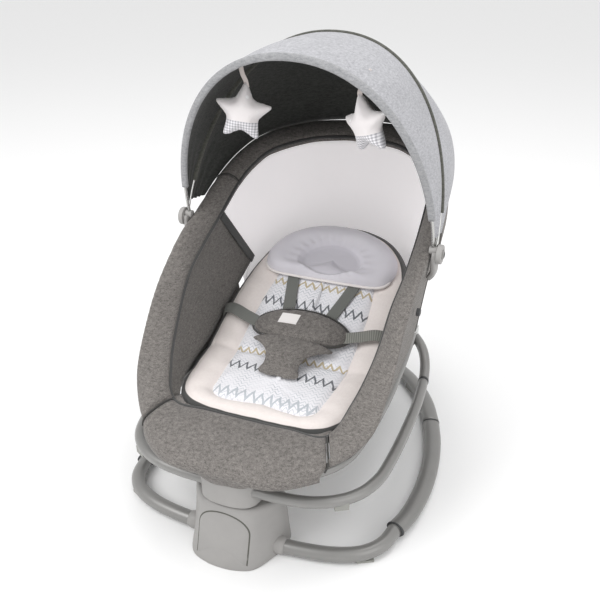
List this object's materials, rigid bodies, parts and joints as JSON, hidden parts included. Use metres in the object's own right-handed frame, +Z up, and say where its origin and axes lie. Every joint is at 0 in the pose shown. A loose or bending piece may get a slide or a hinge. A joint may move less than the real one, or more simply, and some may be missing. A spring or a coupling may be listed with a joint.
{
  "type": "baby swing",
  "caption": "Powered baby swing: a padded reclining tub on a ring that sways about a motor housing at the foot, with a folding canopy and hanging toys.",
  "frame": {"origin": "on the floor under the middle of the whole object's box", "axes": "+Z up, -Y towards the foot end with the motor housing, +X to the right as seen from the foot end"},
  "size_m": [0.5842, 0.7679, 0.7858],
  "materials": {
    "frame_tube": "satin warm grey lacquer",
    "foot_rubber": "matte grey rubber",
    "shell_plastic": "fine matte warm grey moulding",
    "dark_plastic": "matte dark grey",
    "nylon": "natural nylon",
    "circuit_board": "green solder mask",
    "bright_steel": "bright zinc-plated steel",
    "grey_melange": "heather grey woven melange",
    "mesh_cloth": "pale knitted mesh",
    "cream_fabric": "cream border with a zigzag print in the middle",
    "lilac_fabric": "soft pale jersey",
    "board": "raw pressed board",
    "webbing": "ribbed grey webbing",
    "button_red": "satin red",
    "canopy_cloth": "light grey melange with a dark lining",
    "toy_plush": "short plush, printed lower half"
  },
  "bodies": {
    "base": {"floor_front_tube": "frame_tube", "floor_side_tube_left": "frame_tube", "floor_side_tube_right": "frame_tube", "floor_rear_tube": "frame_tube", "front_foot_left": "foot_rubber", "front_foot_right": "foot_rubber", "rear_foot_left": "foot_rubber", "rear_foot_right": "foot_rubber", "housing_shell": "shell_plastic", "front_panel": "shell_plastic", "housing_base": "dark_plastic", "lower_bearing_bridge": "nylon", "upper_bearing": "nylon", "gear_motor": "dark_plastic", "circuit_board": "circuit_board", "loudspeaker": "dark_plastic", "power_inlet": "dark_plastic"},
    "swing": {"swing_front_tube": "frame_tube", "swing_rear_tube": "frame_tube", "ring_stop_left": "foot_rubber", "ring_stop_right": "foot_rubber", "rotor_cap": "shell_plastic", "spindle": "bright_steel", "tube_clamp": "dark_plastic", "sector_gear": "nylon", "tub_hoop": "frame_tube", "rim_tube": "bright_steel", "foot_panel": "grey_melange", "side_panel_left": "grey_melange", "side_panel_right": "grey_melange", "head_roll": "grey_melange", "mesh_window": "mesh_cloth", "tub_floor": "dark_plastic", "side_bracket_left": "bright_steel", "side_bracket_right": "bright_steel", "insert_seat": "cream_fabric", "seat_board": "board", "recline_pin": "bright_steel", "belly_pad": "grey_melange", "crotch_piece": "grey_melange", "buckle": "dark_plastic", "canopy_hub_left": "shell_plastic", "canopy_hub_right": "shell_plastic", "canopy_clamp_left": "shell_plastic", "canopy_clamp_right": "shell_plastic"},
    "pinion": {"drive_pinion": "nylon"},
    "backrest": {"insert_back": "cream_fabric", "backrest_board": "board", "head_pillow": "lilac_fabric", "shoulder_strap_left": "webbing", "shoulder_strap_right": "webbing", "waist_strap_left": "webbing", "waist_strap_right": "webbing"},
    "middle_bow": {"middle_bow": "bright_steel", "canopy_rear_panel": "canopy_cloth"},
    "front_bow": {"front_bow": "bright_steel", "canopy_front_panel": "canopy_cloth"},
    "toy_left": {"star_toy_left": "toy_plush"},
    "toy_right": {"star_toy_right": "toy_plush"},
    "button": {"buckle_button": "button_red"}
  },
  "joints": [
    {"name": "swing_yaw", "type": "hinge", "parent": "base", "child": "swing", "pos_m": [0, -0.312, 0.11], "axis": [0, 0, 1], "range_deg": [-10, 10]},
    {"name": "pinion_spin", "type": "hinge", "parent": "base", "child": "pinion", "pos_m": [-0.0443, -0.312, 0.06], "axis": [0, 0, 1], "range_deg": [-46, 46]},
    {"name": "backrest_recline", "type": "hinge", "parent": "swing", "child": "backrest", "pos_m": [0, -0.069, 0.201], "axis": [-1, 0, 0], "range_deg": [0, 12]},
    {"name": "middle_bow_fold", "type": "hinge", "parent": "swing", "child": "middle_bow", "pos_m": [0, 0.009, 0.461], "axis": [-1, 0, 0], "range_deg": [0, 38], "deforming": ["canopy_rear_panel"]},
    {"name": "front_bow_fold", "type": "hinge", "parent": "middle_bow", "child": "front_bow", "pos_m": [0, 0.009, 0.461], "axis": [-1, 0, 0], "range_deg": [0, 23], "deforming": ["canopy_front_panel"]},
    {"name": "toy_left_swing", "type": "hinge", "parent": "front_bow", "child": "toy_left", "pos_m": [-0.113, 0.009, 0.745], "axis": [1, 0, 0], "range_deg": [-20, 30]},
    {"name": "toy_right_swing", "type": "hinge", "parent": "front_bow", "child": "toy_right", "pos_m": [0.113, 0.009, 0.745], "axis": [1, 0, 0], "range_deg": [-20, 30]},
    {"name": "buckle_press", "type": "slide", "parent": "swing", "child": "button", "axis": [0, 0.9659, 0.2588], "range_m": [0, 0.0022], "stiffness_N_per_m": 600}
  ],
  "couplings": [
    {"joint": "pinion_spin", "follows": "swing_yaw", "ratio": -4.5},
    {"joint": "front_bow_fold", "follows": "middle_bow_fold", "ratio": 0.6}
  ]
}
